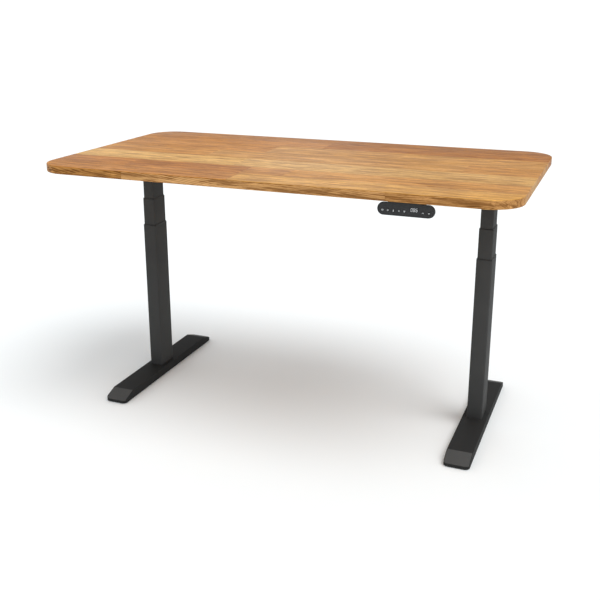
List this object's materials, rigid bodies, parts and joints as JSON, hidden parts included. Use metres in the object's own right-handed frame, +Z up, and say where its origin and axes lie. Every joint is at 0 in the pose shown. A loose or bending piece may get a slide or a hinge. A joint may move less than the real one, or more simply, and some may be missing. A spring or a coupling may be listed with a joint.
{
  "type": "height adjustable standing desk",
  "caption": "Electric sit-stand desk: a rounded oak top on telescopic steel columns with long low feet and a pill-shaped hand control under the front edge.",
  "frame": {"origin": "on the floor, under the middle of the top", "axes": "+X to the seated user's right along the top, +Y away from the user, +Z up"},
  "size_m": [1.5, 0.8, 0.86],
  "materials": {
    "oak": "oiled oak staves, satin",
    "powder_coat": "charcoal powder coat, fine texture",
    "black_plastic": "moulded black, fine grain",
    "gloss_black": "gloss black",
    "display": "smoked lens over white figures",
    "key_cap": "satin black with a pale icon",
    "steel": "turned steel",
    "bronze": "turned bronze",
    "zinc": "zinc plated",
    "cast_alloy": "die cast",
    "rubber": "moulded rubber",
    "lead_sheath": "soft black sheath",
    "circuit": "green board"
  },
  "bodies": {
    "base_left": {"left_foot": "powder_coat", "left_outer_tube": "powder_coat", "left_outer_collar": "black_plastic", "left_fixed_spindle": "steel"},
    "mid_left": {"left_mid_tube": "powder_coat", "left_mid_collar": "black_plastic", "left_mid_shoe": "black_plastic", "left_screw_bearing": "zinc"},
    "top": {"tabletop": "oak", "left_inner_tube": "powder_coat", "left_inner_shoe": "black_plastic", "left_travelling_nut": "bronze", "left_gearbox": "cast_alloy", "left_motor": "black_plastic", "left_column_head": "powder_coat", "left_side_bracket": "powder_coat", "left_motor_lead": "lead_sheath", "right_inner_tube": "powder_coat", "right_inner_shoe": "black_plastic", "right_travelling_nut": "bronze", "right_gearbox": "cast_alloy", "right_motor": "black_plastic", "right_column_head": "powder_coat", "right_side_bracket": "powder_coat", "right_motor_lead": "lead_sheath", "front_rail": "powder_coat", "rear_rail": "powder_coat", "control_box": "black_plastic", "control_box_cover": "black_plastic", "control_board": "circuit", "power_inlet": "black_plastic", "hand_control_housing": "black_plastic", "hand_control_fascia": "gloss_black", "hand_control_display": "display", "hand_control_lead": "lead_sheath"},
    "mid_right": {"right_mid_tube": "powder_coat", "right_mid_collar": "black_plastic", "right_mid_shoe": "black_plastic", "right_screw_bearing": "zinc"},
    "base_right": {"right_foot": "powder_coat", "right_outer_tube": "powder_coat", "right_outer_collar": "black_plastic", "right_fixed_spindle": "steel"},
    "screw_left": {"left_screw_tube": "steel"},
    "shaft_left": {"left_drive_shaft": "steel"},
    "worm_left": {"left_worm": "steel"},
    "glide_left_front": {"left_front_glide": "rubber"},
    "glide_left_rear": {"left_rear_glide": "rubber"},
    "screw_right": {"right_screw_tube": "steel"},
    "shaft_right": {"right_drive_shaft": "steel"},
    "worm_right": {"right_worm": "steel"},
    "glide_right_front": {"right_front_glide": "rubber"},
    "glide_right_rear": {"right_rear_glide": "rubber"},
    "button_1": {"key_1": "key_cap"},
    "button_2": {"key_2": "key_cap"},
    "button_3": {"key_3": "key_cap"},
    "button_4": {"key_4": "key_cap"},
    "button_5": {"key_5": "key_cap"},
    "button_up": {"key_up": "key_cap"},
    "button_down": {"key_down": "key_cap"}
  },
  "joints": [
    {"name": "left_mid_lift", "type": "slide", "parent": "base_left", "child": "mid_left", "axis": [0, 0, 1], "range_m": [-0.09, 0.22]},
    {"name": "left_top_lift", "type": "slide", "parent": "mid_left", "child": "top", "axis": [0, 0, 1], "range_m": [-0.09, 0.22]},
    {"name": "right_mid_lift", "type": "slide", "parent": "top", "child": "mid_right", "axis": [0, 0, -1], "range_m": [-0.09, 0.22]},
    {"name": "right_base_lift", "type": "slide", "parent": "mid_right", "child": "base_right", "axis": [0, 0, -1], "range_m": [-0.09, 0.22]},
    {"name": "left_screw_turn", "type": "hinge", "parent": "mid_left", "child": "screw_left", "pos_m": [-0.6, 0.062, 0.32], "axis": [0, 0, 1], "range_deg": [-3245, 7925]},
    {"name": "left_shaft_turn", "type": "hinge", "parent": "top", "child": "shaft_left", "pos_m": [-0.6, 0.062, 0.6], "axis": [0, 0, 1], "range_deg": [-3245, 7925]},
    {"name": "left_worm_turn", "type": "hinge", "parent": "top", "child": "worm_left", "pos_m": [-0.6, 0.0848, 0.806], "axis": [1, 0, 0], "range_deg": [-77820, 190140]},
    {"name": "left_front_glide_screw", "type": "slide", "parent": "base_left", "child": "glide_left_front", "axis": [0, 0, 1], "range_m": [-0.01, 0]},
    {"name": "left_rear_glide_screw", "type": "slide", "parent": "base_left", "child": "glide_left_rear", "axis": [0, 0, 1], "range_m": [-0.01, 0]},
    {"name": "right_screw_turn", "type": "hinge", "parent": "mid_right", "child": "screw_right", "pos_m": [0.6, 0.062, 0.32], "axis": [0, 0, 1], "range_deg": [-3245, 7925]},
    {"name": "right_shaft_turn", "type": "hinge", "parent": "top", "child": "shaft_right", "pos_m": [0.6, 0.062, 0.6], "axis": [0, 0, 1], "range_deg": [-3245, 7925]},
    {"name": "right_worm_turn", "type": "hinge", "parent": "top", "child": "worm_right", "pos_m": [0.6, 0.0848, 0.806], "axis": [1, 0, 0], "range_deg": [-77820, 190140]},
    {"name": "right_front_glide_screw", "type": "slide", "parent": "base_right", "child": "glide_right_front", "axis": [0, 0, 1], "range_m": [-0.01, 0]},
    {"name": "right_rear_glide_screw", "type": "slide", "parent": "base_right", "child": "glide_right_rear", "axis": [0, 0, 1], "range_m": [-0.01, 0]},
    {"name": "key_1_press", "type": "slide", "parent": "top", "child": "button_1", "axis": [0, 0.9781, -0.2079], "range_m": [0, 0.0006], "stiffness_N_per_m": 400, "springref_m": -0.002},
    {"name": "key_2_press", "type": "slide", "parent": "top", "child": "button_2", "axis": [0, 0.9781, -0.2079], "range_m": [0, 0.0006], "stiffness_N_per_m": 400, "springref_m": -0.002},
    {"name": "key_3_press", "type": "slide", "parent": "top", "child": "button_3", "axis": [0, 0.9781, -0.2079], "range_m": [0, 0.0006], "stiffness_N_per_m": 400, "springref_m": -0.002},
    {"name": "key_4_press", "type": "slide", "parent": "top", "child": "button_4", "axis": [0, 0.9781, -0.2079], "range_m": [0, 0.0006], "stiffness_N_per_m": 400, "springref_m": -0.002},
    {"name": "key_5_press", "type": "slide", "parent": "top", "child": "button_5", "axis": [0, 0.9781, -0.2079], "range_m": [0, 0.0006], "stiffness_N_per_m": 400, "springref_m": -0.002},
    {"name": "key_up_press", "type": "slide", "parent": "top", "child": "button_up", "axis": [0, 0.9781, -0.2079], "range_m": [0, 0.0006], "stiffness_N_per_m": 400, "springref_m": -0.002},
    {"name": "key_down_press", "type": "slide", "parent": "top", "child": "button_down", "axis": [0, 0.9781, -0.2079], "range_m": [0, 0.0006], "stiffness_N_per_m": 400, "springref_m": -0.002}
  ],
  "couplings": [
    {"joint": "left_top_lift", "follows": "left_mid_lift", "ratio": 1},
    {"joint": "right_mid_lift", "follows": "left_mid_lift", "ratio": 1},
    {"joint": "right_base_lift", "follows": "left_mid_lift", "ratio": 1},
    {"joint": "left_screw_turn", "follows": "left_mid_lift", "rad_per_m": 628.32},
    {"joint": "left_shaft_turn", "follows": "left_mid_lift", "rad_per_m": 628.32},
    {"joint": "left_worm_turn", "follows": "left_mid_lift", "rad_per_m": 15080},
    {"joint": "right_screw_turn", "follows": "left_mid_lift", "rad_per_m": 628.32},
    {"joint": "right_shaft_turn", "follows": "left_mid_lift", "rad_per_m": 628.32},
    {"joint": "right_worm_turn", "follows": "left_mid_lift", "rad_per_m": 15080}
  ]
}
